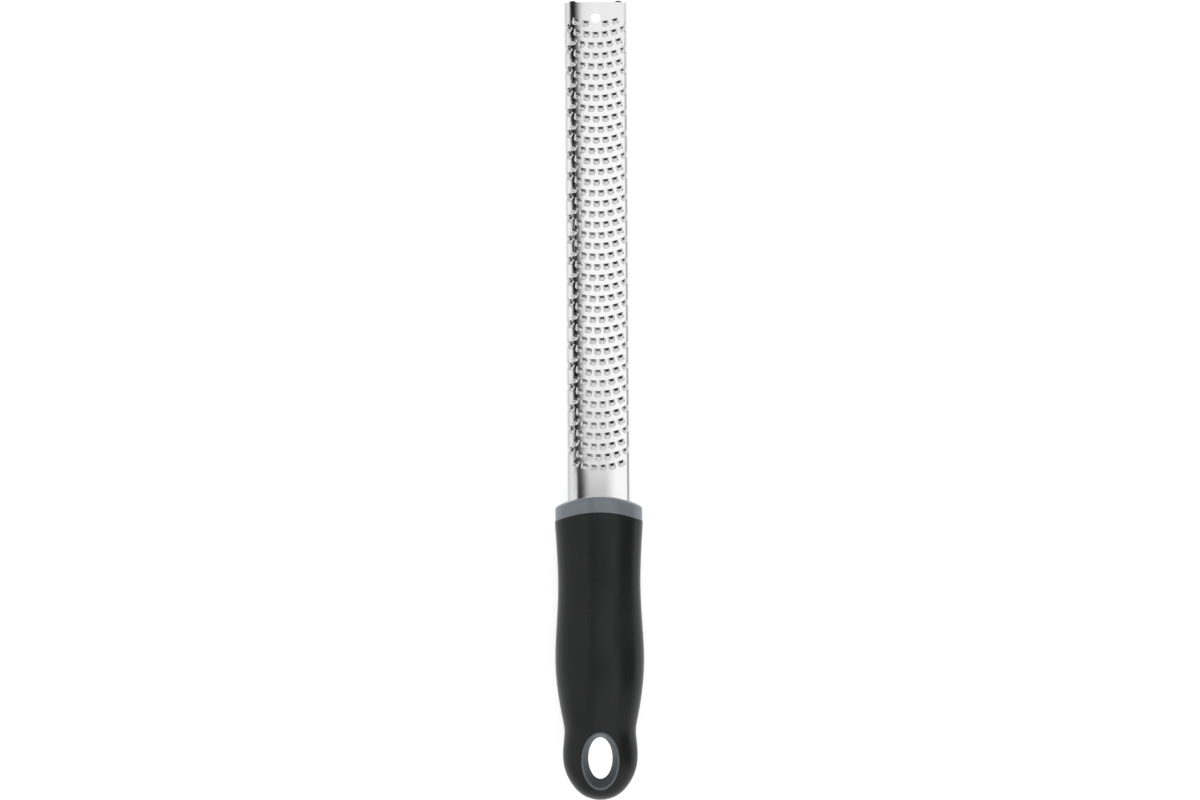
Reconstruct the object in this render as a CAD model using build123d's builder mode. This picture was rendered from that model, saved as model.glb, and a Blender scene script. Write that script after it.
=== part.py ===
from build123d import *
import math
import os

# A rasp zester: a bent stainless sheet full of small raised teeth, moulded into a
# soft-grip handle that ends in a lined hanging hole.
# Millimetres. +Y runs to the blade's tip, +Z is the side that grates, and the origin is
# the middle of the overall box, on the surface that the handle lies on.

# Driving dimensions of the whole tool
blade_reach = 200.5        # from the collar's front to the tip
handle_length = 123.8      # from the collar's front to the butt
handle_width = 36.25       # across the belly, the widest place
handle_depth = 24.0        # through the belly, before its underside is flattened
belly_flattening = 0.7     # the underside is levelled by this much, so that the tool lies still
fit_gap = 0.1              # left all round between pieces that seat in each other
cut_overrun = 1.0          # how far a cut runs past what it cuts

# The blade's sheet
blade_width = 25.6
blade_height = 6.0         # from the crown to the lower edges of the side walls
sheet_thickness = 0.4
crown_radius = 70.0        # the grating face is slightly domed across
bend_radius = 1.35         # outside of the folds along both edges
crown_rise = 3.2           # the crown stands this far above the handle's axis
tip_hole_radius = 1.85
tip_hole_setback = 6.45    # from the tip to the middle of the round hole

# The teeth
row_pitch = 4.284
first_row_setback = 12.18  # from the tip to the mouths of the first full row
plain_strip = 12.4         # at least this much bare sheet in front of the collar
row_arc_radius = 25.9      # each row is an arc, its ends nearer the tip
tooth_pitch = 3.59         # straight across the blade
end_row_pitch = 3.83       # the same in the short row beside the round hole
edge_margin = 2.0          # least way from the middle of a row's last tooth to the blade's edge
tooth_width = 2.75         # at its mouth
tooth_rear_width = 2.05
tooth_length = 2.2
tooth_height = 0.55
slot_width = 1.9           # at the mouth
slot_rear_width = 1.6
slot_length = 1.05
lip_width = 0.1            # the flat left on top of the raised rim
tooth_root = 0.38          # how deep a tooth's raised form is rooted in the sheet

# The tang, hidden in the handle
channel_seat = 5.4         # how far the folded edges reach into the collar
tang_width = 14.0
tang_length = 56.0
tang_corner_radius = 3.0
key_hole_radius = 2.5
key_hole_setback = 10.0    # from the tang's end to its rear hole
key_hole_spacing = 24.0

# The feet under the tip's corners
foot_radius = 2.3
foot_spread = 18.6         # between the feet's middles
foot_overhang = 0.7        # how far they show past the tip
foot_drop = 1.0            # how far they stand below the side walls
foot_rounding = 0.6

# The collar
collar_length = 6.2
front_arch_radius = 36.7
rear_arch_radius = 42.0    # its rear edge is arched less
collar_recess = 0.2        # it lies this far below the grip's surface
collar_rounding = 1.4
spigot_width = 24.0
spigot_depth = 14.0
spigot_length = 6.0

# The grip and its core
grip_wall = 2.2
grip_edge_rounding = 0.3

# The ring that lines the hanging hole
ring_width = 15.4
ring_length = 23.8
ring_setback = 17.0        # from the butt to the ring's middle
ring_lip = 0.65
ring_proud = 0.15          # its lip stands this far out of the grip
eye_width = 9.8            # the narrow middle of the hole
eye_length = 16.8
throat_rise = 5.0          # the hole widens over this height, each way

# The handle's ribs: place along it, width and depth, each a share of its full size
handle_rib_shares = (
    (0.000, 0.985, 0.955),
    (0.030, 0.990, 0.960),
    (0.060, 0.991, 0.962),
    (0.090, 0.987, 0.958),
    (0.140, 0.966, 0.940),
    (0.200, 0.944, 0.922),
    (0.290, 0.928, 0.908),
    (0.380, 0.948, 0.930),
    (0.460, 0.982, 0.972),
    (0.535, 1.000, 1.000),
    (0.600, 0.981, 0.985),
    (0.660, 0.932, 0.930),
    (0.720, 0.862, 0.855),
    (0.750, 0.822, 0.812),
    (0.775, 0.804, 0.780),
    (0.800, 0.816, 0.757),
    (0.845, 0.841, 0.733),
    (0.885, 0.822, 0.712),
    (0.920, 0.747, 0.668),
    (0.950, 0.630, 0.590),
    (0.973, 0.492, 0.485),
    (0.989, 0.330, 0.335),
    (0.997, 0.172, 0.180),
)

# Places along the tool and heights above the surface it lies on
overall_length = foot_overhang + blade_reach + handle_length
tip_y = overall_length / 2 - foot_overhang
front_y = tip_y - blade_reach
butt_y = front_y - handle_length
seat_y = front_y - channel_seat
grip_front_y = front_y - collar_length - fit_gap
tang_end_y = seat_y - tang_length
ring_y = butt_y + ring_setback
axis_height = handle_depth / 2 - belly_flattening
crown_height = axis_height + crown_rise
wall_edge_height = crown_height - blade_height
foot_height = wall_edge_height - foot_drop

# Cuts seen from above start below the whole handle and run past its top
below_handle = Plane.XY.offset(-belly_flattening - cut_overrun)
through_handle = handle_depth + 2 * cut_overrun


def cross_plane(y):
    """An upright plane across the tool, centred on the handle's axis, facing the butt."""
    return Plane(origin=(0, y, axis_height), x_dir=(1, 0, 0), z_dir=(0, -1, 0))


def crown_drop(x, radius=crown_radius):
    """How far the domed face has fallen at x from its middle."""
    return radius - math.sqrt(radius**2 - x**2)


def channel_area(inset, extra_depth=0):
    """The area under the sheet's outside, brought in by inset and deepened at its open side."""
    half = blade_width / 2 - inset
    top = crown_rise - inset
    shoulder = top - crown_drop(half, crown_radius - inset)
    bottom = crown_rise - blade_height - extra_depth
    with BuildSketch() as area:
        with BuildLine():
            ThreePointArc((-half, shoulder), (0, top), (half, shoulder))
            Polyline((half, shoulder), (half, bottom), (-half, bottom), (-half, shoulder))
        make_face()
        fillet(area.vertices().group_by(Axis.Y)[-1], radius=bend_radius - inset)
    return area.sketch


def channel_section(gap):
    """The bent sheet cut across, grown by gap on every side."""
    with BuildSketch() as section:
        add(channel_area(-gap, gap))
        add(channel_area(sheet_thickness + gap, gap + cut_overrun), mode=Mode.SUBTRACT)
    return section.sketch


def tang_plan(gap):
    """The tang seen from above, grown by gap, with its two key holes."""
    length = tang_length + gap
    with BuildSketch(Plane.XY.offset(axis_height)) as plan:
        with Locations((0, seat_y)):
            Rectangle(tang_width + 2 * gap, length, align=(Align.CENTER, Align.MAX))
        fillet(plan.vertices().group_by(Axis.Y)[0], radius=tang_corner_radius + gap)
        rear_hole_y = tang_end_y + key_hole_setback
        with Locations((0, rear_hole_y), (0, rear_hole_y + key_hole_spacing)):
            Circle(key_hole_radius - gap, mode=Mode.SUBTRACT)
    return plan.sketch


def arch_area(y, radius):
    """The plan of all that lies behind an arched cut whose middle is at y."""
    with BuildSketch(below_handle) as area:
        with Locations((0, y - radius)):
            Circle(radius)
        with Locations((0, y - radius)):
            Rectangle(2 * radius, handle_length, align=(Align.CENTER, Align.MAX))
    return area.sketch


def oval(plane, width, length):
    """An oval about the hanging hole's middle."""
    with BuildSketch(plane) as shape:
        with Locations((0, ring_y)):
            Ellipse(width / 2, length / 2)
    return shape.sketch


def handle_body(inset):
    """The whole handle's outside, brought in by inset, as one smooth body through its ribs."""
    length = handle_length - inset
    ribs = []
    for place_share, width_share, depth_share in handle_rib_shares:
        with BuildSketch(cross_plane(front_y - place_share * length)) as rib:
            half_width = width_share * (handle_width / 2 - inset)
            half_depth = depth_share * (handle_depth / 2 - inset)
            Ellipse(half_width, half_depth)
        ribs.append(rib.sketch)
    with BuildPart() as body:
        loft(sections=[*ribs, Vertex(0, front_y - length, axis_height)])
    return body.part


def row_ways(shift_share):
    """How far across the blade a row's teeth sit, shifted by a share of the tooth pitch."""
    reach = blade_width / 2 - edge_margin
    most = math.ceil(reach / tooth_pitch)
    ways = [(index + shift_share) * tooth_pitch for index in range(-most, most + 1)]
    return [way for way in ways if abs(way) <= reach]


def tooth_place(row_y, x):
    """Where one tooth stands: turned along its row's arc and square to the domed face."""
    angle = math.asin(x / row_arc_radius)
    y = row_y + row_arc_radius * (1 - math.cos(angle))
    tilt = math.asin(x / crown_radius)
    return Location(
        (x, y, crown_height - crown_drop(x)),
        (0, math.degrees(tilt), math.degrees(angle)),
    )


def tooth_places():
    """The short row beside the round hole, then full rows with every other one shifted."""
    first_y = tip_y - first_row_setback
    toothed_length = blade_reach - first_row_setback - plain_strip
    places = [tooth_place(first_y + row_pitch, count * end_row_pitch) for count in (-2, -1, 1, 2)]
    for row in range(math.floor(toothed_length / row_pitch) + 1):
        shift_share = 0.5 * (row % 2)
        for way in row_ways(shift_share):
            places.append(tooth_place(first_y - row * row_pitch, way))
    return places


# One tooth's raised form: upright at its mouth, sloped at its sides and towards the handle.
# Its own axes are those of its place: +Y to the tip, +Z out of the sheet.
form_top_width = slot_width + 2 * lip_width
form_top_length = slot_length + lip_width
side_run = (tooth_width - form_top_width) / 2
side_angle = math.atan((tooth_width - tooth_rear_width) / 2 / tooth_length)


def side_plane(side):
    """A plane square to one side of a tooth, where that side meets the mouth; side is -1 or 1."""
    lean = side * math.sin(side_angle)
    return Plane(
        origin=(side * tooth_width / 2, 0, 0),
        x_dir=(math.cos(side_angle), -lean, 0),
        z_dir=(-lean, -math.cos(side_angle), 0),
    )


with BuildPart() as tooth_form:
    with BuildSketch(Plane.YZ.offset(-tooth_width / 2)):
        Polygon(
            (0, -tooth_root),
            (0, tooth_height),
            (-form_top_length, tooth_height),
            (-tooth_length, 0),
            (-tooth_length, -tooth_root),
            align=None,
        )
    extrude(amount=tooth_width)
    for side in (-1, 1):
        far_x = -side * (tooth_width + cut_overrun)
        with BuildSketch(side_plane(side)):
            Polygon(
                (0, -tooth_root),
                (0, 0),
                (-side * side_run, tooth_height),
                (far_x, tooth_height),
                (far_x, -tooth_root),
                align=None,
            )
        extrude(amount=tooth_length + cut_overrun, mode=Mode.INTERSECT)

# The slot through each tooth, open at the mouth
with BuildPart() as tooth_slot:
    with BuildSketch(Plane.XY.offset(-sheet_thickness - cut_overrun)):
        Polygon(
            (-slot_width / 2, lip_width),
            (-slot_rear_width / 2, -slot_length),
            (slot_rear_width / 2, -slot_length),
            (slot_width / 2, lip_width),
            align=None,
        )
    extrude(amount=sheet_thickness + tooth_height + 2 * cut_overrun)

# The blade: a channel-shaped sheet that narrows to a tang, with its holes and its teeth
with BuildPart() as blade:
    with BuildSketch(cross_plane(tip_y)):
        add(channel_section(0))
    extrude(amount=tip_y - tang_end_y)
    with BuildSketch(Plane.XY.offset(axis_height)):
        with Locations((0, seat_y)):
            Rectangle(
                blade_width + cut_overrun,
                tang_length + cut_overrun,
                align=(Align.CENTER, Align.MAX),
            )
        add(tang_plan(0), mode=Mode.SUBTRACT)
    extrude(amount=handle_depth / 2, both=True, mode=Mode.SUBTRACT)
    with BuildSketch(Plane.XY.offset(crown_height)):
        with Locations((0, tip_y - tip_hole_setback)):
            Circle(tip_hole_radius)
    extrude(amount=sheet_thickness + cut_overrun, both=True, mode=Mode.SUBTRACT)
    with Locations(*tooth_places()):
        add(tooth_form.part)
    with Locations(*tooth_places()):
        add(tooth_slot.part, mode=Mode.SUBTRACT)


def make_tip_foot(side):
    """A round rubber foot bonded under one corner of the tip; side is -1 or 1."""
    foot_y = tip_y + foot_overhang - foot_radius
    with BuildPart() as foot:
        with BuildSketch(Plane.XY.offset(foot_height)):
            with Locations((side * foot_spread / 2, foot_y)):
                Circle(foot_radius)
        extrude(amount=blade_height + foot_drop)
        with BuildSketch(cross_plane(tip_y + foot_overhang + cut_overrun)):
            add(channel_area(sheet_thickness + fit_gap, foot_drop + cut_overrun))
        extrude(amount=2 * foot_radius + 2 * cut_overrun, mode=Mode.INTERSECT)
        fillet(foot.faces().sort_by(Axis.Z)[0].edges(), radius=foot_rounding)
    return foot.part


tip_foot_left = make_tip_foot(-1)
tip_foot_right = make_tip_foot(1)

# The space that the blade takes up inside the handle
with BuildPart() as channel_space:
    with BuildSketch(cross_plane(front_y + cut_overrun)):
        add(channel_section(fit_gap))
    extrude(amount=channel_seat + fit_gap + cut_overrun)

with BuildPart() as tang_space:
    with BuildSketch(cross_plane(seat_y)):
        add(channel_section(fit_gap))
    extrude(amount=tang_length + fit_gap)
    with BuildSketch(Plane.XY.offset(axis_height)):
        add(tang_plan(fit_gap))
    extrude(amount=handle_depth / 2, both=True, mode=Mode.INTERSECT)


def make_spigot(gap):
    """The oval plug behind the collar that locates it in the core, grown by gap."""
    start_y = front_y - collar_length / 2
    with BuildPart() as spigot:
        with BuildSketch(cross_plane(start_y)):
            Ellipse(spigot_width / 2 + gap, spigot_depth / 2 + gap)
        extrude(amount=collar_length / 2 + spigot_length + gap)
    return spigot.part


# The collar: a band between two arched cuts, with a spigot behind it
with BuildPart() as collar:
    add(handle_body(collar_recess))
    with BuildSketch(below_handle):
        add(arch_area(front_y, front_arch_radius))
        add(arch_area(front_y - collar_length, rear_arch_radius), mode=Mode.SUBTRACT)
    extrude(amount=through_handle, mode=Mode.INTERSECT)
    front_edges = collar.edges().filter_by(GeomType.CIRCLE, reverse=True).group_by(Axis.Y)[-1]
    fillet(front_edges, radius=collar_rounding)
    add(make_spigot(0))
    add(channel_space.part, mode=Mode.SUBTRACT)
    add(tang_space.part, mode=Mode.SUBTRACT)

# The oval that the core and the grip leave for the ring
ring_space = oval(below_handle, ring_width + 2 * fit_gap, ring_length + 2 * fit_gap)

# The hard core inside the grip
with BuildPart() as handle_core:
    add(handle_body(grip_wall))
    extrude(arch_area(grip_front_y, rear_arch_radius), amount=through_handle, mode=Mode.INTERSECT)
    add(make_spigot(fit_gap), mode=Mode.SUBTRACT)
    add(tang_space.part, mode=Mode.SUBTRACT)
    extrude(ring_space, amount=through_handle, mode=Mode.SUBTRACT)

# The soft grip moulded over the core, level along its underside
with BuildPart() as grip:
    add(handle_body(0))
    extrude(arch_area(grip_front_y, rear_arch_radius), amount=through_handle, mode=Mode.INTERSECT)
    front_edges = grip.edges().group_by(Axis.Y)[-1]
    fillet(front_edges, radius=grip_edge_rounding)
    add(handle_body(grip_wall - fit_gap), mode=Mode.SUBTRACT)
    extrude(ring_space, amount=through_handle, mode=Mode.SUBTRACT)
    split(bisect_by=Plane.XY)

# The ring that lines the hanging hole, wide at both faces and narrow in the middle
mouth_width = ring_width - 2 * ring_lip
mouth_length = ring_length - 2 * ring_lip

with BuildPart() as eye_space:
    for side in (-1, 1):
        throat_plane = Plane.XY.offset(axis_height + side * throat_rise)
        eye = oval(Plane.XY.offset(axis_height), eye_width, eye_length)
        mouth = oval(throat_plane, mouth_width, mouth_length)
        loft(sections=[eye, mouth])
        extrude(mouth, amount=side * handle_depth)

with BuildPart() as hanging_ring:
    add(handle_body(-ring_proud))
    extrude(oval(below_handle, ring_width, ring_length), amount=through_handle, mode=Mode.INTERSECT)
    add(eye_space.part, mode=Mode.SUBTRACT)

# Every piece is named and written to its own file
pieces = {
    "blade": blade.part,
    "tip_foot_left": tip_foot_left,
    "tip_foot_right": tip_foot_right,
    "collar": collar.part,
    "handle_core": handle_core.part,
    "grip": grip.part,
    "hanging_ring": hanging_ring.part,
}

os.makedirs("parts", exist_ok=True)
for name, piece in pieces.items():
    piece.label = name
    export_step(piece, f"parts/{name}.step")
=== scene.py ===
import math

import bpy
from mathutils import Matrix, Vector
from mathutils.geometry import delaunay_2d_cdt


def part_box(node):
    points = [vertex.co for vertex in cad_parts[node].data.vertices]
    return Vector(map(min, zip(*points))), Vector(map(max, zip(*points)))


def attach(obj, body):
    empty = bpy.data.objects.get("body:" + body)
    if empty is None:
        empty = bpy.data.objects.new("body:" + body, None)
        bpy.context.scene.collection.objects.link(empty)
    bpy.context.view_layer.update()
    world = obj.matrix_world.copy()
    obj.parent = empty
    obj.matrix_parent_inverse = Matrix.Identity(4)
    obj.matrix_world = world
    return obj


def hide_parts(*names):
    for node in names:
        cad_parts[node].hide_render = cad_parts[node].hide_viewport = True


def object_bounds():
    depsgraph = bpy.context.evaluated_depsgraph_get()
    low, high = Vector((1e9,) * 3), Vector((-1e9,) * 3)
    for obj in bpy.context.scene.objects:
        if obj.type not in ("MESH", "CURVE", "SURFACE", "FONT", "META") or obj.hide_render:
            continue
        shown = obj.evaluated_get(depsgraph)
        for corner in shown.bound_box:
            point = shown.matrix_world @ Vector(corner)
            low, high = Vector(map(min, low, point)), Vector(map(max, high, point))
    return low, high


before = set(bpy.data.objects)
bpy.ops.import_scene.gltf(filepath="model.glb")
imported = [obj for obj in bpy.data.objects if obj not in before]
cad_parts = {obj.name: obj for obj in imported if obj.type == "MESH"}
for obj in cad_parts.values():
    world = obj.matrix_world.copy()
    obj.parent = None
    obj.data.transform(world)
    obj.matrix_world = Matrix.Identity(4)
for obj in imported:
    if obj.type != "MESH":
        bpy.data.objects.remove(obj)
cad_low, cad_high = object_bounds()

# Metres, in the frame's axes: +Y to the blade's tip, +Z out of its grating face
millimetre = 0.001
blade_low, blade_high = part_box("blade")
collar_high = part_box("collar")[1]

# The blade's sheet: a slight dome across, a tight bend along each edge, and side walls
tooth_height = 0.55 * millimetre
sheet_thickness = 0.4 * millimetre
crown_radius = 70 * millimetre
bend_radius = 1.35 * millimetre
channel_seat = 5.4 * millimetre
tang_half_width = 7 * millimetre
tang_corner_radius = 3 * millimetre
key_hole_radius = 2.5 * millimetre
key_hole_setback = 10 * millimetre
key_hole_spacing = 24 * millimetre
tip_hole_radius = 1.85 * millimetre
tip_hole_setback = 6.45 * millimetre
half_width = blade_high.x
tip_y = blade_high.y
front_y = collar_high.y
seat_y = front_y - channel_seat
tang_end_y = blade_low.y
crown_z = blade_high.z - tooth_height
wall_z = blade_low.z
tip_hole_y = tip_y - tip_hole_setback

# The rows of teeth
row_pitch = 4.284 * millimetre
first_row_setback = 12.18 * millimetre
plain_strip = 12.4 * millimetre
row_arc_radius = 25.9 * millimetre
tooth_pitch = 3.59 * millimetre
end_row_pitch = 3.83 * millimetre
edge_margin = 2.0 * millimetre

# One tooth: its slot, and the raised metal round the slot
slot_half_width = 0.95 * millimetre
slot_rear_half_width = 0.80 * millimetre
slot_length = 1.05 * millimetre
slot_corner = 0.24 * millimetre
rim_half_width = 1.52 * millimetre
rim_rear_half_width = 1.36 * millimetre
rim_length = 2.40 * millimetre
rim_corner = 0.80 * millimetre
slot_mouth = 0.04 * millimetre
rim_mouth = 0.16 * millimetre
mouth_height_share = 0.30

# Where a tooth's points lie: down its sides, across its mouth, and from its slot to its rim
side_shares = (0, 0.35, 0.7)
mouth_shares = (-1, -0.33, 0.33, 1)
ring_shares = (0.0, 0.16, 0.34, 0.54, 0.77, 1.0, 1.12)

# How finely the sheet is divided
dome_steps = 24
bend_steps = 8
wall_steps = 4
hole_steps = 40
corner_steps = 3
grid_step = row_pitch / 4
grid_clearance = 0.25 * millimetre
same_point_distance = 1e-9
sharp_angle = math.radians(50)

# The cross-section's arcs, found from where the dome and the bend touch
bend_start = math.asin((half_width - bend_radius) / (crown_radius - bend_radius))
bend_centre_x = half_width - bend_radius
bend_centre_z = crown_z - crown_radius + (crown_radius - bend_radius) * math.cos(bend_start)
dome_length = crown_radius * bend_start
bend_length = bend_radius * (math.pi / 2 - bend_start)
wall_length = bend_centre_z - wall_z

# The round holes, each by its middle's y and its radius
rear_key_y = tang_end_y + key_hole_setback
round_holes = (
    (tip_hole_y, tip_hole_radius),
    (rear_key_y, key_hole_radius),
    (rear_key_y + key_hole_spacing, key_hole_radius),
)


def section(u):
    """The sheet's outside at a way u from its crown, as x, z and the outward direction."""
    side = math.copysign(1, u)
    way = abs(u)
    if way <= dome_length:
        angle = way / crown_radius
        x = crown_radius * math.sin(angle)
        z = crown_z - crown_radius * (1 - math.cos(angle))
    elif way <= dome_length + bend_length:
        angle = bend_start + (way - dome_length) / bend_radius
        x = bend_centre_x + bend_radius * math.sin(angle)
        z = bend_centre_z + bend_radius * math.cos(angle)
    else:
        angle = math.pi / 2
        x = half_width
        z = bend_centre_z - (way - dome_length - bend_length)
    return side * x, z, Vector((side * math.sin(angle), 0, math.cos(angle)))


def tooth_place(row_y, x):
    """Where one tooth stands on the flat sheet, and how far it is turned."""
    angle = math.asin(x / row_arc_radius)
    v = row_y + row_arc_radius * (1 - math.cos(angle))
    u = crown_radius * math.asin(x / crown_radius)
    return u, v, angle


def row_ways(shift_share):
    """How far across the blade a row's teeth sit."""
    reach = half_width - edge_margin
    most = math.ceil(reach / tooth_pitch)
    ways = [(index + shift_share) * tooth_pitch for index in range(-most, most + 1)]
    return [way for way in ways if abs(way) <= reach]


def tooth_places():
    """The short row beside the round hole, then full rows with every other one shifted."""
    first_y = tip_y - first_row_setback
    toothed_length = first_y - plain_strip - front_y
    places = [tooth_place(first_y + row_pitch, count * end_row_pitch) for count in (-2, -1, 1, 2)]
    for row in range(math.floor(toothed_length / row_pitch) + 1):
        shift_share = 0.5 * (row % 2)
        for way in row_ways(shift_share):
            places.append(tooth_place(first_y - row * row_pitch, way))
    return places


def rounded_u(half, rear_half, length, corner):
    """Points down one side of a U with rounded corners, across its rear and up again."""
    centre_a = rear_half - corner
    centre_b = corner - length
    side = [(half + (rear_half - half) * share, centre_b * share) for share in side_shares]
    for step in range(corner_steps + 1):
        angle = math.pi / 2 * step / corner_steps
        side.append((centre_a + corner * math.cos(angle), centre_b - corner * math.sin(angle)))
    side.append((centre_a / 2, -length))
    return side + [(-a, b) for a, b in reversed(side)]


def tooth_loops():
    """Matching points on the slot's edge and on the raised metal's outline, and their heights."""
    inner = rounded_u(slot_half_width, slot_rear_half_width, slot_length, slot_corner)
    outer = rounded_u(rim_half_width, rim_rear_half_width, rim_length, rim_corner)
    rise_share = 1 - mouth_height_share
    raised = [mouth_height_share + rise_share * min(1, -b / slot_length) for a, b in inner]
    for share in mouth_shares:
        inner.append((share * slot_half_width, slot_mouth))
        outer.append((share * rim_half_width, rim_mouth))
        raised.append(0)
    return inner, outer, raised


def slope(share):
    """A rounded slope that falls from 1 to 0 and stays there."""
    way = min(share, 1)
    return 1 - way * way * (3 - 2 * way)


class Sheet:
    """The flat sheet's points and faces, with how far each point is pushed out."""

    def __init__(self):
        self.flat = []
        self.push = []
        self.faces = []

    def point(self, u, v, height=0, direction=None):
        """Adds one point and returns its number."""
        self.flat.append((u, v))
        self.push.append((height, direction))
        return len(self.flat) - 1

    def loop(self, points):
        """Adds points and returns their numbers."""
        return [self.point(u, v) for u, v in points]


def add_tooth(sheet, place, loops):
    """Adds one tooth's raised metal and returns the points of its outline."""
    centre_u, centre_v, angle = place
    cosine, sine = math.cos(angle), math.sin(angle)
    direction = section(centre_u)[2]
    rings = []
    for share in ring_shares:
        ring = []
        for (inner_a, inner_b), (outer_a, outer_b), raised in zip(*loops):
            a = inner_a + (outer_a - inner_a) * share
            b = inner_b + (outer_b - inner_b) * share
            u = centre_u + a * cosine - b * sine
            v = centre_v + a * sine + b * cosine
            ring.append(sheet.point(u, v, tooth_height * raised * slope(share), direction))
        rings.append(ring)
    for near, far in zip(rings, rings[1:]):
        for index in range(len(near)):
            after = (index + 1) % len(near)
            sheet.faces.append((near[index], near[after], far[after], far[index]))
    return rings[-1]


def circle(centre_v, radius):
    """Points round one of the round holes."""
    turns = [2 * math.pi * step / hole_steps for step in range(hole_steps)]
    return [(radius * math.cos(turn), centre_v + radius * math.sin(turn)) for turn in turns]


def sheet_outline():
    """The flat sheet's outline: the folded part and, behind it, the narrower tang."""
    half_sheet = dome_length + bend_length + wall_length
    corner_y = tang_end_y + tang_corner_radius
    corner_x = tang_half_width - tang_corner_radius
    half = [(half_sheet, tip_y), (half_sheet, seat_y), (tang_half_width, seat_y)]
    for step in range(corner_steps + 1):
        angle = math.pi / 2 * step / corner_steps
        x = corner_x + tang_corner_radius * math.cos(angle)
        half.append((x, corner_y - tang_corner_radius * math.sin(angle)))
    return half + [(-u, v) for u, v in reversed(half)]


def even_steps(start, end, step):
    """Values from start to end, a step or so apart."""
    count = round((end - start) / step)
    return [start + (end - start) * index / count for index in range(count + 1)]


def across_ways():
    """Ways across the sheet for its grid, closer together round the bends."""
    wall_start = dome_length + bend_length
    ways = [dome_length * step / dome_steps for step in range(dome_steps + 1)]
    ways += [dome_length + bend_length * step / bend_steps for step in range(1, bend_steps + 1)]
    ways += [wall_start + wall_length * step / wall_steps for step in range(1, wall_steps + 1)]
    return [-way for way in reversed(ways[1:])] + ways


def near_tooth(u, v, place):
    """Whether a point lies on a tooth's raised metal or just beside it."""
    centre_u, centre_v, angle = place
    across, along = u - centre_u, v - centre_v
    a = across * math.cos(angle) + along * math.sin(angle)
    b = along * math.cos(angle) - across * math.sin(angle)
    beside = abs(a) < rim_half_width + grid_clearance
    return beside and -rim_length - grid_clearance < b < rim_mouth + grid_clearance


def near_hole(u, v):
    """Whether a point lies in a round hole or just beside it."""
    return any(math.hypot(u, v - y) < radius + grid_clearance for y, radius in round_holes)


def add_grid(sheet, places):
    """Points all over the sheet, clear of the teeth and the holes."""
    rows = {}
    for place in places:
        rows.setdefault(math.floor(place[1] / row_pitch), []).append(place)
    ways = across_ways()
    tang_reach = tang_half_width - grid_clearance
    tang_ways = [u for u in ways if abs(u) < tang_reach]
    points = []
    for v in even_steps(tang_end_y + tang_corner_radius, seat_y, 2 * grid_step)[:-1]:
        points += [(u, v) for u in tang_ways if not near_hole(u, v)]
    for v in even_steps(seat_y, tip_y, grid_step):
        row = math.floor(v / row_pitch)
        close = [place for key in (row - 1, row, row + 1) for place in rows.get(key, ())]
        for u in ways:
            if not near_hole(u, v) and not any(near_tooth(u, v, place) for place in close):
                points.append((u, v))
    return sheet.loop(points)


def fill_sheet(sheet, outlines, others):
    """Triangles between the outlines, without the holes and what lies beside the tang."""
    used = [index for outline in outlines for index in outline] + others
    owner = {index: number for number, outline in enumerate(outlines) for index in outline}
    position = {index: number for number, index in enumerate(used)}
    edges = []
    for outline in outlines:
        for a, b in zip(outline, outline[1:] + outline[:1]):
            edges.append((position[a], position[b]))
    points = [Vector(sheet.flat[index]) for index in used]
    made = delaunay_2d_cdt(points, edges, [], 0, same_point_distance)
    faces, sources = made[2], made[3]
    for face in faces:
        corners = [used[sources[corner][0]] for corner in face]
        owners = {owner.get(index) for index in corners}
        middle_u = sum(sheet.flat[index][0] for index in corners) / len(corners)
        middle_v = sum(sheet.flat[index][1] for index in corners) / len(corners)
        inside_hole = len(owners) == 1 and owners.isdisjoint({None, 0})
        beside_tang = middle_v < seat_y and abs(middle_u) > tang_half_width
        if not inside_hole and not beside_tang:
            sheet.faces.append(tuple(corners))


def make_sheet():
    """The whole flat sheet: teeth, holes, outline, and the faces between them."""
    sheet = Sheet()
    places = tooth_places()
    loops = tooth_loops()
    outlines = [sheet.loop(sheet_outline())]
    outlines += [add_tooth(sheet, place, loops) for place in places]
    outlines += [sheet.loop(circle(y, radius)) for y, radius in round_holes]
    fill_sheet(sheet, outlines, add_grid(sheet, places))
    return sheet


def signed_area(points):
    """A flat face's area, which is below zero where its points run clockwise."""
    pairs = zip(points, points[1:] + points[:1])
    return sum(a[0] * b[1] - b[0] * a[1] for a, b in pairs) / 2


def bend_sheet(name, sheet):
    """Bends the flat sheet, gives it its thickness and closes its edges."""
    outside, inside = [], []
    for (u, v), (height, direction) in zip(sheet.flat, sheet.push):
        x, z, out = section(u)
        point = Vector((x, v, z)) + (direction or out) * height
        outside.append(point)
        inside.append(point - out * sheet_thickness)
    faces = []
    for face in sheet.faces:
        upwards = signed_area([sheet.flat[index] for index in face]) > 0
        faces.append(face if upwards else tuple(reversed(face)))
    count = len(outside)
    runs = {pair for face in faces for pair in zip(face, face[1:] + face[:1])}
    rims = sorted((a, b) for a, b in runs if (b, a) not in runs)
    under = [tuple(count + index for index in reversed(face)) for face in faces]
    edges = [(b, a, a + count, b + count) for a, b in rims]
    mesh = bpy.data.meshes.new(name)
    mesh.from_pydata(outside + inside, [], faces + under + edges)
    mesh.validate()
    mesh.shade_smooth()
    mesh.set_sharp_from_angle(angle=sharp_angle)
    piece = bpy.data.objects.new(name, mesh)
    bpy.context.scene.collection.objects.link(piece)
    return piece


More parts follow.
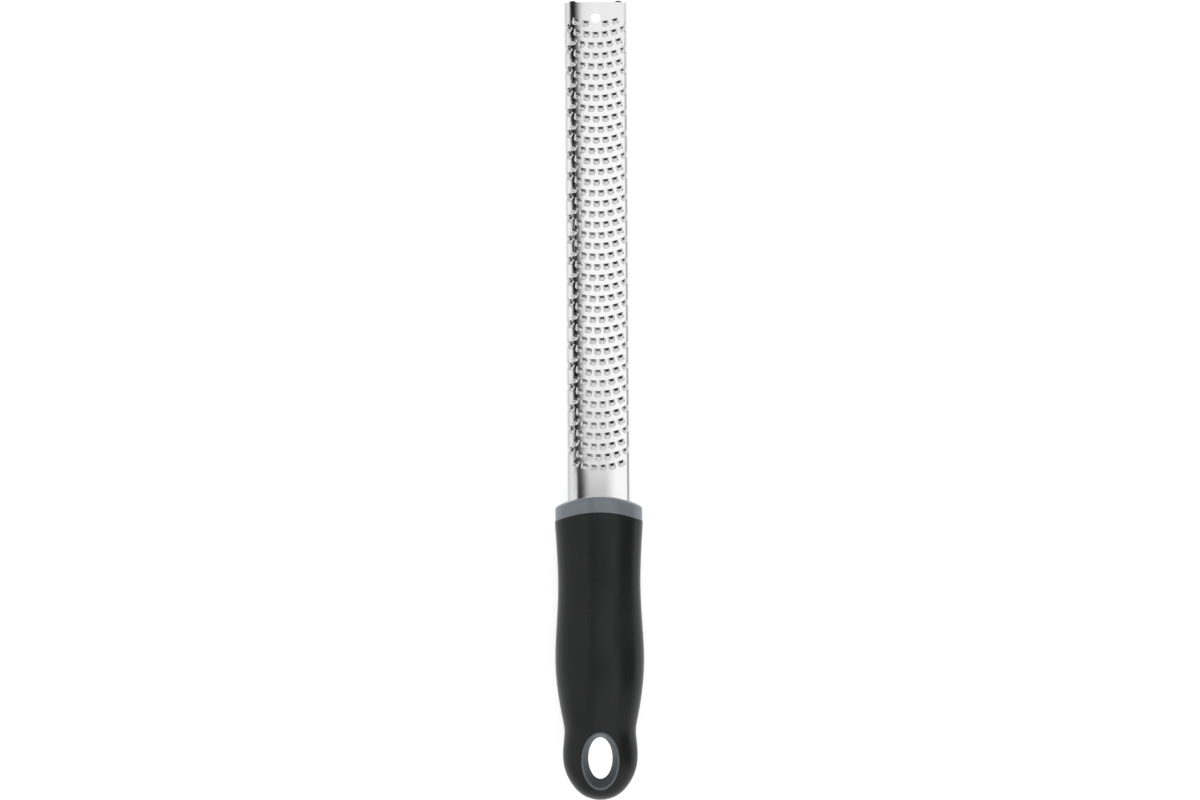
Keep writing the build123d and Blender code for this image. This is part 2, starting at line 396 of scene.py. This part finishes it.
class Nodes:
    """Adds shader nodes to one node tree, each fed by numbers or by other nodes."""

    def __init__(self, tree):
        self.tree = tree

    def add(self, kind, sockets=(), **settings):
        """Adds a node, with values or other nodes for its sockets."""
        node = self.tree.nodes.new(kind)
        for name, value in settings.items():
            setattr(node, name, value)
        for name, value in dict(sockets).items():
            self.feed(node.inputs[name], value)
        return node

    def feed(self, socket, value):
        """Gives a socket a number, a colour or another node's result."""
        if isinstance(value, bpy.types.NodeSocket):
            self.tree.links.new(value, socket)
        else:
            socket.default_value = value

    def math(self, operation, *values):
        """One step of arithmetic."""
        return self.add("ShaderNodeMath", enumerate(values), operation=operation).outputs[0]

    def step(self, value, low, high, bottom=0.0, top=1.0):
        """Goes smoothly from bottom to top while value goes from low to high."""
        sockets = {"Value": value, "From Min": low, "From Max": high}
        sockets.update({"To Min": bottom, "To Max": top})
        return self.add("ShaderNodeMapRange", sockets, interpolation_type="SMOOTHSTEP").outputs[0]

    def fall(self, value, low, high):
        """Goes smoothly from 1 to 0 while value goes from low to high."""
        return self.step(value, low, high, 1.0, 0.0)

    def product(self, *values):
        """All the values multiplied."""
        made = values[0]
        for value in values[1:]:
            made = self.math("MULTIPLY", made, value)
        return made

    def inverse(self, value):
        """1 less the value."""
        return self.math("SUBTRACT", 1.0, value)

    def dimmed(self, value, mask, share):
        """The value, less a share of itself where the mask is 1."""
        return self.product(value, self.math("MULTIPLY_ADD", mask, -share, 1.0))

    def noise(self, grain, stretch=(1, 1, 1), detail=2.0):
        """Noise over the piece whose grains measure about grain metres, stretched along axes."""
        place = self.add("ShaderNodeTexCoord").outputs["Object"]
        scale = [1 / (grain * way) for way in stretch]
        scaled = self.add("ShaderNodeMapping", {"Vector": place, "Scale": scale}).outputs[0]
        sockets = {"Vector": scaled, "Scale": 1.0, "Detail": detail}
        return self.add("ShaderNodeTexNoise", sockets).outputs[0]

    def colour(self, value, low, high):
        """A colour between two, by value."""
        sockets = {"Factor": value, "A": (*low, 1), "B": (*high, 1)}
        return self.add("ShaderNodeMix", sockets, data_type="RGBA").outputs["Result"]

    def bump(self, height, depth, before=None):
        """Raises the surface by depth metres where height is 1."""
        sockets = {"Height": height, "Distance": depth}
        if before:
            sockets["Normal"] = before
        return self.add("ShaderNodeBump", sockets).outputs[0]


def material(name):
    """A new material with its nodes and its shader."""
    made = bpy.data.materials.new(name)
    made.use_nodes = True
    return made, Nodes(made.node_tree), made.node_tree.nodes["Principled BSDF"]


# The materials: their grains' sizes and depths, their gloss and the two colours that each mixes
noise_range = (0.3, 0.7)
steel_grain = 0.12 * millimetre
steel_grain_depth = 0.0004 * millimetre
hairline_width = 0.35 * millimetre
hairline_range = (0.68, 0.74)
hairline_dullness = 0.12
wave_size = 9 * millimetre
wave_depth = 0.012 * millimetre
smear_size = 4 * millimetre
steel_roughness = (0.04, 0.075)
steel_tones = ((0.69, 0.69, 0.695), (0.73, 0.73, 0.725))
stipple_size = 0.28 * millimetre
stipple_depth = 0.012 * millimetre
patch_size = 14 * millimetre
grip_roughness = (0.25, 0.31)
grip_tones = ((0.0042, 0.0048, 0.0048), (0.0065, 0.0072, 0.0074))
grip_gloss = 0.33
mottle_size = 5 * millimetre
moulding_grain = 0.18 * millimetre
moulding_depth = 0.004 * millimetre
moulding_dullness = 0.08
plain_gloss = 0.5
collar_gloss = 0.85
collar_roughness = 0.17
ring_roughness = 0.24
core_roughness = 0.45
collar_tones = ((0.132, 0.160, 0.184), (0.150, 0.180, 0.204))
# The ring's tones: the collar's plastic made darker, as painted shade for its deep funnel
ring_painted_shade_tones = ((0.100, 0.116, 0.134), (0.118, 0.135, 0.154))
core_tones = ((0.03, 0.03, 0.034), (0.04, 0.04, 0.044))
bloom_size = 1.2 * millimetre
bloom_depth = 0.02 * millimetre
foot_roughness = (0.5, 0.7)
foot_tones = ((0.008, 0.008, 0.008), (0.02, 0.02, 0.019))


def steel():
    """Bright stainless sheet: a long fine grain, a few hairlines and a faint waviness."""
    made, nodes, shader = material("stainless_sheet")
    grain = nodes.noise(steel_grain, stretch=(1, 60, 1), detail=3.0)
    scratch = nodes.noise(hairline_width, stretch=(1, 120, 1), detail=1.0)
    hairline = nodes.step(scratch, *hairline_range)
    wave = nodes.noise(wave_size, stretch=(1, 3, 1), detail=1.0)
    smear = nodes.noise(smear_size, stretch=(1, 2, 1), detail=3.0)
    shine = nodes.step(grain, *noise_range, *steel_roughness)
    dull = nodes.math("MULTIPLY_ADD", hairline, hairline_dullness, shine)
    waved = nodes.bump(wave, wave_depth)
    nodes.feed(shader.inputs["Base Color"], nodes.colour(smear, *steel_tones))
    nodes.feed(shader.inputs["Roughness"], dull)
    nodes.feed(shader.inputs["Normal"], nodes.bump(grain, steel_grain_depth, waved))
    shader.inputs["Metallic"].default_value = 1.0
    return made


def soft_grip():
    """Matte near-black rubber with a fine stipple, a little shinier in patches."""
    made, nodes, shader = material("soft_grip")
    stipple = nodes.noise(stipple_size)
    patch = nodes.noise(patch_size, stretch=(1, 1.6, 1), detail=3.0)
    dull = nodes.step(patch, *noise_range, *grip_roughness)
    nodes.feed(shader.inputs["Base Color"], nodes.colour(patch, *grip_tones))
    nodes.feed(shader.inputs["Roughness"], dull)
    nodes.feed(shader.inputs["Normal"], nodes.bump(stipple, stipple_depth))
    shader.inputs["Specular IOR Level"].default_value = grip_gloss
    return made


def hard_plastic(name, tones, roughness, gloss=plain_gloss):
    """Moulded satin plastic: a soft mottle in its colour and a fine texture."""
    made, nodes, shader = material(name)
    mottle = nodes.noise(mottle_size, detail=3.0)
    texture = nodes.noise(moulding_grain)
    dull = nodes.step(texture, *noise_range, roughness, roughness + moulding_dullness)
    nodes.feed(shader.inputs["Base Color"], nodes.colour(mottle, *tones))
    nodes.feed(shader.inputs["Roughness"], dull)
    nodes.feed(shader.inputs["Normal"], nodes.bump(texture, moulding_depth))
    shader.inputs["Specular IOR Level"].default_value = gloss
    return made


def foot_rubber():
    """Dull black rubber with a dusty bloom."""
    made, nodes, shader = material("foot_rubber")
    bloom = nodes.noise(bloom_size, detail=4.0)
    dull = nodes.step(bloom, *noise_range, *foot_roughness)
    nodes.feed(shader.inputs["Base Color"], nodes.colour(bloom, *foot_tones))
    nodes.feed(shader.inputs["Roughness"], dull)
    nodes.feed(shader.inputs["Normal"], nodes.bump(bloom, bloom_depth))
    return made


def dress(node, made):
    """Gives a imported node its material."""
    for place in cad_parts[node].material_slots:
        place.material = made


blade = bend_sheet("blade_sheet", make_sheet())
blade.data.materials.append(steel())
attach(blade, "root")
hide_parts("blade")

feet_material = foot_rubber()
dress("collar", hard_plastic("collar_plastic", collar_tones, collar_roughness, collar_gloss))
# The ring's darker copy of the collar's plastic is painted shade
dress("hanging_ring", hard_plastic("ring_plastic_painted_shade", ring_painted_shade_tones, ring_roughness))
dress("handle_core", hard_plastic("core_plastic", core_tones, core_roughness))
dress("grip", soft_grip())
dress("tip_foot_left", feet_material)
dress("tip_foot_right", feet_material)

# The floor: pale, with painted shade under the toothed blade and round the eye, painted light under
# the holes
floor_reach = 3.0
floor_drop = 0.1 * millimetre
floor_glow = 0.62
floor_roughness = 0.9
# The floor's pale colour, and the dark colour of its painted shade
floor_and_painted_shade_tones = ((0.75, 0.75, 0.75), (0.10, 0.10, 0.10))
white = (1, 1, 1, 1)

# The painted shade under the blade
shade_inset = 0.5 * millimetre
shade_start = 4.0 * millimetre
shade_fade_x = 1.5 * millimetre
shade_fade_y = 3.5 * millimetre
shade_edge_x = half_width - shade_inset
shade_front_y = tip_y - shade_inset
shade_rear_y = front_y + shade_start

# The painted bright spots and the painted shade round the eye's, with their edges as way_out
# measures them
painted_spot_glow = 0.45
hole_spot_shift = 2.6 * millimetre
hole_spot_radius = 2.7 * millimetre
hole_spot_middle = (0.0, tip_hole_y + hole_spot_shift)
hole_spot_size = (hole_spot_radius, hole_spot_radius)
hole_spot_edge = (0.7, 1.3)
eye_spot_middle = (0.1 * millimetre, -147.0 * millimetre)
eye_spot_size = (6.0 * millimetre, 10.0 * millimetre)
eye_spot_edge = (0.85, 1.15)
eye_shade_edge = (2.0, 3.2)

# Painted light for the little light that seeps in under the blade, mostly left of its middle
seep_left_x = (-12.5 * millimetre, -3.5 * millimetre)
seep_right_x = (-2.5 * millimetre, 5.0 * millimetre)
seep_y = (0.0, 160 * millimetre)
seep_glows = (0.15, 0.06)


def way_out(nodes, place, middle, size):
    """The square of how far out of an ellipse a place is: 1 on the ellipse."""
    squares = []
    for value, centre, half in zip(place, middle, size):
        way = nodes.math("DIVIDE", nodes.math("SUBTRACT", value, centre), half)
        squares.append(nodes.product(way, way))
    return nodes.math("ADD", *squares)


def floor_painted_light_and_shade():
    """A pale floor that glows softly, apart from its painted shades, with painted light spots and
    painted seeping light.
    """
    made, nodes, shader = material("floor_painted_light_and_shade")
    place = nodes.add("ShaderNodeTexCoord").outputs["Object"]
    parts = nodes.add("ShaderNodeSeparateXYZ", {0: place})
    x, y = parts.outputs["X"], parts.outputs["Y"]
    from_axis = nodes.math("ABSOLUTE", x)

    # Painted light: bright spots on the floor under the round hole and under the eye
    from_hole = way_out(nodes, (x, y), hole_spot_middle, hole_spot_size)
    from_eye = way_out(nodes, (x, y), eye_spot_middle, eye_spot_size)
    hole_spot = nodes.fall(from_hole, *hole_spot_edge)
    eye_spot = nodes.fall(from_eye, *eye_spot_edge)
    painted_light_spots = nodes.math("MAXIMUM", hole_spot, eye_spot)

    # Painted shade: the floor dark under the blade and round the eye, except at the bright spots
    beside = nodes.fall(from_axis, shade_edge_x - shade_fade_x, shade_edge_x)
    before = nodes.fall(y, shade_front_y - shade_fade_y, shade_front_y)
    behind = nodes.step(y, shade_rear_y - shade_fade_y, shade_rear_y)
    under_blade = nodes.product(beside, before, behind)
    round_eye = nodes.fall(from_eye, *eye_shade_edge)
    shade = nodes.product(nodes.math("MAXIMUM", under_blade, round_eye), nodes.inverse(painted_light_spots))

    # Painted light: a little glow inside the painted shade, mostly left of the blade's middle
    seep_across = nodes.product(nodes.step(x, *seep_left_x), nodes.fall(x, *seep_right_x))
    painted_seep_light = nodes.product(shade, seep_across, nodes.step(y, *seep_y, *seep_glows))
    # The floor's glow: taken away under the painted shade, raised by the painted seeping light and
    # bright spots
    lit = nodes.math("MULTIPLY_ADD", nodes.inverse(shade), floor_glow, painted_seep_light)
    glow = nodes.math("MULTIPLY_ADD", painted_light_spots, painted_spot_glow, lit)
    # The painted shade also darkens the floor's colour
    nodes.feed(shader.inputs["Base Color"], nodes.colour(shade, *floor_and_painted_shade_tones))
    nodes.feed(shader.inputs["Emission Strength"], glow)
    shader.inputs["Emission Color"].default_value = white
    shader.inputs["Roughness"].default_value = floor_roughness
    shader.inputs["Specular IOR Level"].default_value = 0
    return made


def make_floor():
    """One square that the tool lies on."""
    mesh = bpy.data.meshes.new("floor")
    z = cad_low.z - floor_drop
    corners = [(-1, -1), (1, -1), (1, 1), (-1, 1)]
    mesh.from_pydata([(a * floor_reach, b * floor_reach, z) for a, b in corners], [], [(0, 1, 2, 3)])
    mesh.materials.append(floor_painted_light_and_shade())
    piece = bpy.data.objects.new("floor", mesh)
    bpy.context.scene.collection.objects.link(piece)
    return piece


make_floor()

# The studio's tent: a place on it is a unit vector, a pair is where a change begins and ends
tent_light = 1.33
horizon_light = 1.0
horizon_z = (0.05, 0.25)
beyond_handle_y = (-0.08, -0.05)
beyond_handle_shift = -0.2
tent_collar_y = (-0.036, -0.027)

# The parts of the tent that are a little dimmer
tent_tip_y = (0.13, 0.19)
tip_dim_share = 0.13
tent_far_y = (0.25, 0.45)
far_dim_share = 0.25
tent_near_y = (-0.45, -0.25)
near_dim_share = 0.30
tent_far_left_x = (-0.50, -0.34)
far_left_dim_share = 0.20
tent_left_x = (-0.22, 0.02)
left_dim_share = 0.08

# The dark hood over the tool, which darkens in three steps from its far edge
hood_left_x = (-0.30, -0.20)
hood_right_x = (0.06, 0.22)
hood_near_y = (-0.26, -0.20)
hood_outer_y = (-0.005, 0.025)
hood_outer_share = 0.15
hood_middle_y = (-0.048, -0.022)
hood_middle_share = 0.40
hood_inner_y = (-0.12, -0.05)
hood_inner_share = 0.70

# The dark gap on the left, which leans more once it is nearer than its turn
gap_share = 0.995
gap_shift = 0.0315
gap_turn_y = -0.05
gap_slant = 0.028
gap_near_slant = 0.34
gap_collar_shift = -0.041
gap_left_x = (-0.277, -0.255)
gap_right_x = (-0.226, -0.105)
gap_collar_shares = (0.94, 1.0)
gap_near_y = (-0.5, -0.1)
gap_near_shares = (0.6, 1.0)

# The dark flag on the right, fainter towards the tip and deeper beyond the handle
flag_x = (0.36, 0.44)
flag_front_y = (-0.03, 0.02)
flag_front_shares = (0.62, 0.52)
flag_tip_y = (0.13, 0.185)
flag_tip_shares = (1.0, 0.35)
flag_handle_share = 0.45
flag_near_y = (-0.40, -0.25)


def dimmed_tent(nodes, x, y):
    """The tent's light with its dimmer parts."""
    light = nodes.dimmed(tent_light, nodes.step(y, *tent_tip_y), tip_dim_share)
    light = nodes.dimmed(light, nodes.step(y, *tent_far_y), far_dim_share)
    light = nodes.dimmed(light, nodes.fall(y, *tent_near_y), near_dim_share)
    light = nodes.dimmed(light, nodes.fall(x, *tent_far_left_x), far_left_dim_share)
    return nodes.dimmed(light, nodes.fall(x, *tent_left_x), left_dim_share)


def with_hood(nodes, light, x, y, right_x):
    """The light with the hood over it."""
    wide = nodes.product(nodes.fall(right_x, *hood_right_x), nodes.step(y, *hood_near_y))
    hood = nodes.product(wide, nodes.step(x, *hood_left_x))
    outer = nodes.product(wide, nodes.fall(y, *hood_outer_y))
    middle = nodes.product(hood, nodes.fall(y, *hood_middle_y))
    inner = nodes.product(hood, nodes.fall(y, *hood_inner_y))
    light = nodes.dimmed(light, outer, hood_outer_share)
    light = nodes.dimmed(light, middle, hood_middle_share)
    return nodes.dimmed(light, inner, hood_inner_share)


def with_gap(nodes, light, x, y):
    """The light with the gap in it."""
    ahead = nodes.math("MAXIMUM", y, gap_turn_y)
    behind = nodes.math("SUBTRACT", ahead, y)
    across = nodes.math("MULTIPLY_ADD", ahead, gap_slant, nodes.math("ADD", x, gap_shift))
    across = nodes.math("MULTIPLY_ADD", behind, gap_near_slant, across)
    across = nodes.math("ADD", across, nodes.step(y, *tent_collar_y, gap_collar_shift, 0.0))
    sides = nodes.product(nodes.step(across, *gap_left_x), nodes.fall(across, *gap_right_x))
    at_collar = nodes.step(y, *tent_collar_y, *gap_collar_shares)
    depth = nodes.product(at_collar, nodes.step(y, *gap_near_y, *gap_near_shares))
    return nodes.dimmed(light, nodes.product(sides, depth), gap_share)


def with_flag(nodes, light, y, right_x, beyond_handle):
    """The light with the flag before it."""
    front = nodes.step(y, *flag_front_y, *flag_front_shares)
    tip = nodes.step(y, *flag_tip_y, *flag_tip_shares)
    flag = nodes.product(nodes.step(right_x, *flag_x), front, tip)
    deeper = nodes.product(flag, beyond_handle)
    flag = nodes.math("MULTIPLY_ADD", deeper, flag_handle_share, flag)
    return nodes.dimmed(light, nodes.product(flag, nodes.step(y, *flag_near_y)), 1.0)


def studio():
    """A white tent with a hood, a gap and a flag, and even light near the horizon."""
    world = bpy.data.worlds.new("tent")
    world.use_nodes = True
    bpy.context.scene.world = world
    nodes = Nodes(world.node_tree)
    direction = nodes.add("ShaderNodeTexCoord").outputs["Generated"]
    parts = nodes.add("ShaderNodeSeparateXYZ", {0: direction})
    x, y, z = parts.outputs["X"], parts.outputs["Y"], parts.outputs["Z"]
    beyond_handle = nodes.fall(y, *beyond_handle_y)
    right_x = nodes.math("MULTIPLY_ADD", beyond_handle, beyond_handle_shift, x)
    light = dimmed_tent(nodes, x, y)
    light = with_hood(nodes, light, x, y, right_x)
    light = with_gap(nodes, light, x, y)
    light = with_flag(nodes, light, y, right_x, beyond_handle)
    above = nodes.step(z, *horizon_z)
    level = nodes.product(nodes.inverse(above), horizon_light)
    background = world.node_tree.nodes["Background"]
    nodes.feed(background.inputs["Strength"], nodes.math("MULTIPLY_ADD", light, above, level))
    background.inputs["Color"].default_value = white


studio()

# The camera: straight above, as the photograph's was, with the tool turned a little
photo_width = 1200
metres_per_pixel = 0.4073 * millimetre
sensor_width = 36
camera_distance = 0.86
camera_x = 0.8 * millimetre
camera_y = 0.3 * millimetre
axis_z = 11.3 * millimetre
camera_turn = math.radians(-0.38)


def make_camera():
    """The camera, whose width of view is the photograph's at the handle's axis."""
    data = bpy.data.cameras.new("camera")
    data.sensor_width = sensor_width
    data.lens = sensor_width * camera_distance / (photo_width * metres_per_pixel)
    camera = bpy.data.objects.new("camera", data)
    camera.location = (camera_x, camera_y, axis_z + camera_distance)
    camera.rotation_euler = (0, 0, camera_turn)
    bpy.context.scene.collection.objects.link(camera)
    bpy.context.scene.camera = camera


make_camera()
bpy.context.scene.view_settings.view_transform = "Standard"
